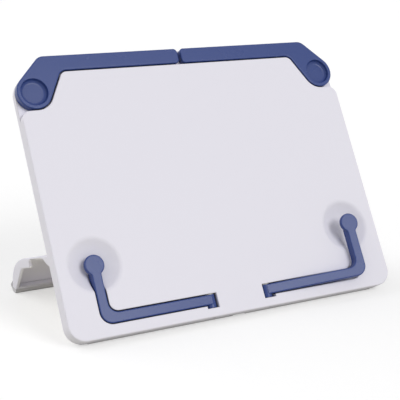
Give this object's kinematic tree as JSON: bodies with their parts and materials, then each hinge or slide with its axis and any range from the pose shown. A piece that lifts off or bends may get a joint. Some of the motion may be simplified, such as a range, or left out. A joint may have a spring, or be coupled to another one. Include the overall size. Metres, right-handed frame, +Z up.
{
  "type": "folding book stand",
  "caption": "Leaning white plastic reading stand with a folding rear leg, swing-out top wings and hinged page holders, for a book or tablet.",
  "frame": {"origin": "on the table, under the middle of the stand's box", "axes": "+X to the reader's right along the panel's width, +Y from the reader to the back, +Z up"},
  "size_m": [0.31, 0.1682, 0.2143],
  "materials": {
    "white_plastic": "moulded white, fine satin texture",
    "blue_plastic": "moulded slate blue, satin",
    "zinc_steel": "bright zinc plating",
    "washer_plastic": "natural waxy plastic",
    "pale_grip": "pale soft grip"
  },
  "bodies": {
    "panel": {"front_panel": "white_plastic", "back_cover": "white_plastic", "back_cover_screws": "zinc_steel", "left_holder_pin": "zinc_steel", "right_holder_pin": "zinc_steel", "leg_hinge_bolts": "zinc_steel", "leg_hinge_nuts": "zinc_steel", "leg_friction_washers": "washer_plastic", "base_pads": "pale_grip"},
    "leg": {"rear_leg": "white_plastic", "leg_foot_strip": "pale_grip"},
    "left_wing": {"left_wing": "blue_plastic", "left_wing_spring_washer": "zinc_steel", "left_wing_washer": "zinc_steel", "left_wing_screw": "zinc_steel"},
    "right_wing": {"right_wing": "blue_plastic", "right_wing_spring_washer": "zinc_steel", "right_wing_washer": "zinc_steel", "right_wing_screw": "zinc_steel"},
    "left_holder": {"left_page_holder": "blue_plastic", "left_holder_washer": "washer_plastic"},
    "right_holder": {"right_page_holder": "blue_plastic", "right_holder_washer": "washer_plastic"}
  },
  "joints": [
    {"name": "leg_fold", "type": "hinge", "parent": "panel", "child": "leg", "pos_m": [0, -0.02884, 0.05814], "axis": [1, 0, 0], "range_deg": [-45, 77]},
    {"name": "left_wing_swing", "type": "hinge", "parent": "panel", "child": "left_wing", "pos_m": [-0.14, 0.0224, 0.1879], "axis": [0, -0.866, 0.5], "range_deg": [0, 120]},
    {"name": "right_wing_swing", "type": "hinge", "parent": "panel", "child": "right_wing", "pos_m": [0.14, 0.0224, 0.1879], "axis": [0, 0.866, -0.5], "range_deg": [0, 120]},
    {"name": "left_holder_swing", "type": "hinge", "parent": "panel", "child": "left_holder", "pos_m": [-0.0273, -0.07068, 0.01728], "axis": [0, 0.5, 0.866], "range_deg": [0, 90]},
    {"name": "right_holder_swing", "type": "hinge", "parent": "panel", "child": "right_holder", "pos_m": [0.0273, -0.07068, 0.01728], "axis": [0, -0.5, -0.866], "range_deg": [-5.6, 84.4]}
  ]
}
